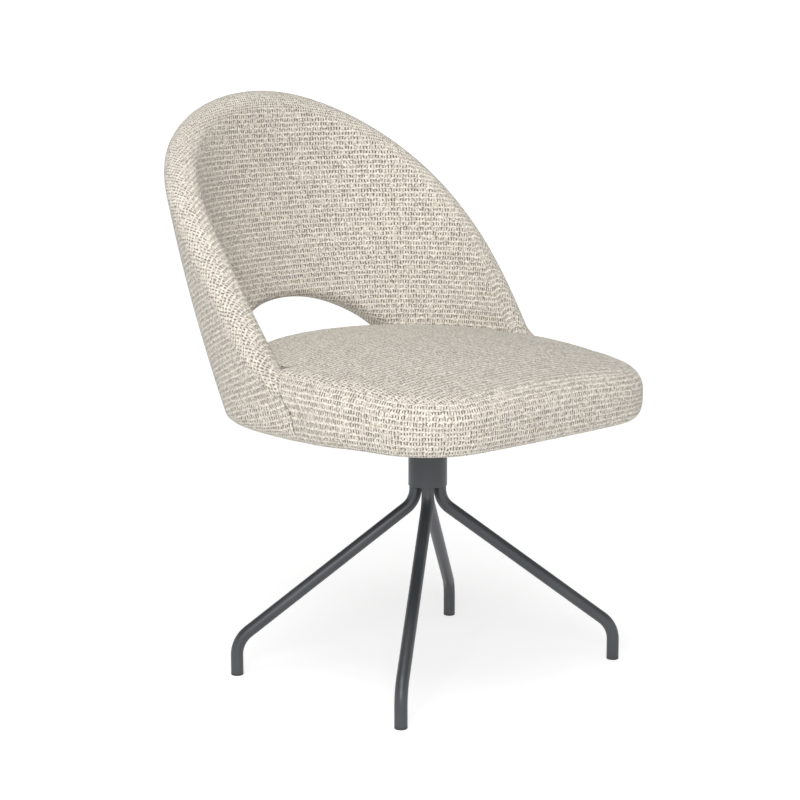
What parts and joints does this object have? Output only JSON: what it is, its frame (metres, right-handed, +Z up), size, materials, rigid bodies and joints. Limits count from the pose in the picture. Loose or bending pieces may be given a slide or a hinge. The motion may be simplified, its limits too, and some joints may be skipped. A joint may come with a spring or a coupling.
{
  "type": "swivel dining chair",
  "caption": "Upholstered tub dining chair with a rounded back, a crescent opening above the seat, and a swivel seat on a four-legged bent steel tube base.",
  "frame": {"origin": "point where the swivel axis meets the floor", "axes": "+Z up along the swivel axis, -Y towards the front edge of the seat, X across"},
  "size_m": [0.5754, 0.6373, 0.8292],
  "materials": {
    "base_paint": "satin powder coat",
    "plain_steel": "machined",
    "zinc_steel": "zinc plated",
    "bush_plastic": "natural nylon",
    "glide_plastic": "moulded",
    "plywood": "raw birch",
    "foam": "open foam",
    "cover_fabric": "coarse flecked weave",
    "dust_fabric": "thin non-woven"
  },
  "bodies": {
    "base": {"leg_front_left": "base_paint", "leg_front_right": "base_paint", "leg_rear_left": "base_paint", "leg_rear_right": "base_paint", "glide_front_left": "glide_plastic", "glide_front_right": "glide_plastic", "glide_rear_left": "glide_plastic", "glide_rear_right": "glide_plastic", "hub_collar": "base_paint", "hub_plate": "plain_steel", "bearing_housing": "plain_steel", "lower_bush": "bush_plastic", "upper_bush": "bush_plastic", "thrust_washer": "bush_plastic"},
    "seat": {"seat_spindle": "plain_steel", "retaining_ring": "plain_steel", "seat_plate": "base_paint", "plate_washers": "zinc_steel", "plate_bolts": "zinc_steel", "t_nuts": "zinc_steel", "seat_board": "plywood", "back_shell": "plywood", "shell_brackets": "zinc_steel", "bracket_foot_screws": "zinc_steel", "bracket_shell_screws": "zinc_steel", "back_foam": "foam", "seat_foam": "foam", "back_cover": "cover_fabric", "seat_cover": "cover_fabric", "dust_cover": "dust_fabric", "cover_staples": "zinc_steel"}
  },
  "joints": [
    {"name": "seat_swivel", "type": "hinge", "parent": "base", "child": "seat", "pos_m": [0, 0, 0.33], "axis": [0, 0, 1], "continuous": true}
  ]
}
